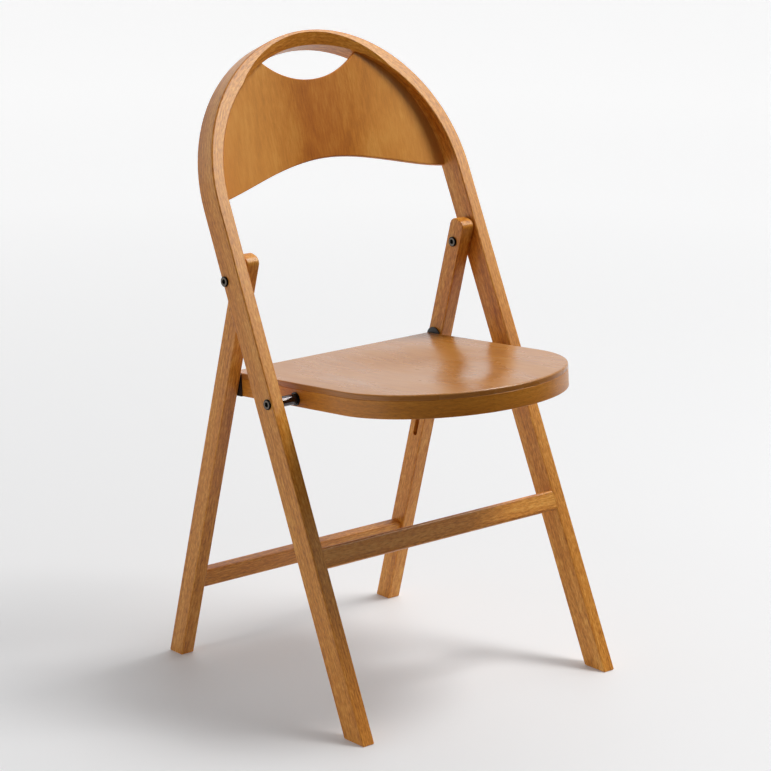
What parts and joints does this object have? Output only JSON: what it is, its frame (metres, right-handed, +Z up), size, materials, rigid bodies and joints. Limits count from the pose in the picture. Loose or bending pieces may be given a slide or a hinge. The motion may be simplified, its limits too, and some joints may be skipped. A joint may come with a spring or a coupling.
{
  "type": "folding chair",
  "caption": "Bentwood folding chair: round-topped leaning hoop with a curved plywood back, round-fronted seat and a rear leg frame that folds flat against the hoop.",
  "frame": {"origin": "centre of the overall outline on the floor, chair open", "axes": "+Z up; the sitter faces -Y; +X to the sitter's left; left and right in names are as seen from the front, left = -X"},
  "size_m": [0.4222, 0.458, 0.7988],
  "materials": {
    "bent_beech": "satin lacquer over stained beech",
    "leg_beech": "satin lacquer over stained beech",
    "rail_beech": "satin lacquer over stained beech",
    "rim_beech": "satin lacquer over stained beech",
    "back_plywood": "satin lacquer over stained beech plywood",
    "seat_plywood": "satin lacquer over stained beech plywood",
    "black_screws": "black oxide",
    "black_collar": "polished black",
    "black_plate": "satin black",
    "polished_tube": "dark polished",
    "steel": "plain"
  },
  "bodies": {
    "hoop": {"hoop_frame": "bent_beech", "back_panel": "back_plywood", "front_stretcher": "rail_beech", "upper_pivot_bolts": "black_screws", "upper_pivot_sleeves": "black_screws", "upper_pivot_washers": "steel", "seat_pivot_bolts": "black_screws", "seat_spacer_left": "polished_tube", "seat_spacer_right": "polished_tube"},
    "rear_frame": {"rear_leg_left": "leg_beech", "rear_leg_right": "leg_beech", "rear_stretcher": "rail_beech"},
    "seat": {"seat_panel": "seat_plywood", "seat_rim": "rim_beech", "seat_rear_rail": "rim_beech", "seat_pivot_inserts": "steel", "seat_collar_left": "black_collar", "seat_collar_right": "black_collar", "guide_plate_left": "black_plate", "guide_plate_right": "black_plate", "guide_stud_left": "black_plate", "guide_stud_right": "black_plate"}
  },
  "joints": [
    {"name": "seat_fold", "type": "hinge", "parent": "hoop", "child": "seat", "pos_m": [0, -0.00145, 0.38344], "axis": [-1, 0, 0], "range_deg": [0, 107.3]},
    {"name": "rear_fold", "type": "hinge", "parent": "hoop", "child": "rear_frame", "pos_m": [0, 0.0837, 0.52038], "axis": [-1, 0, 0], "range_deg": [0, 39.3]}
  ],
  "couplings": [
    {"joint": "rear_fold", "follows": "seat_fold", "ratio": 0.36533}
  ]
}
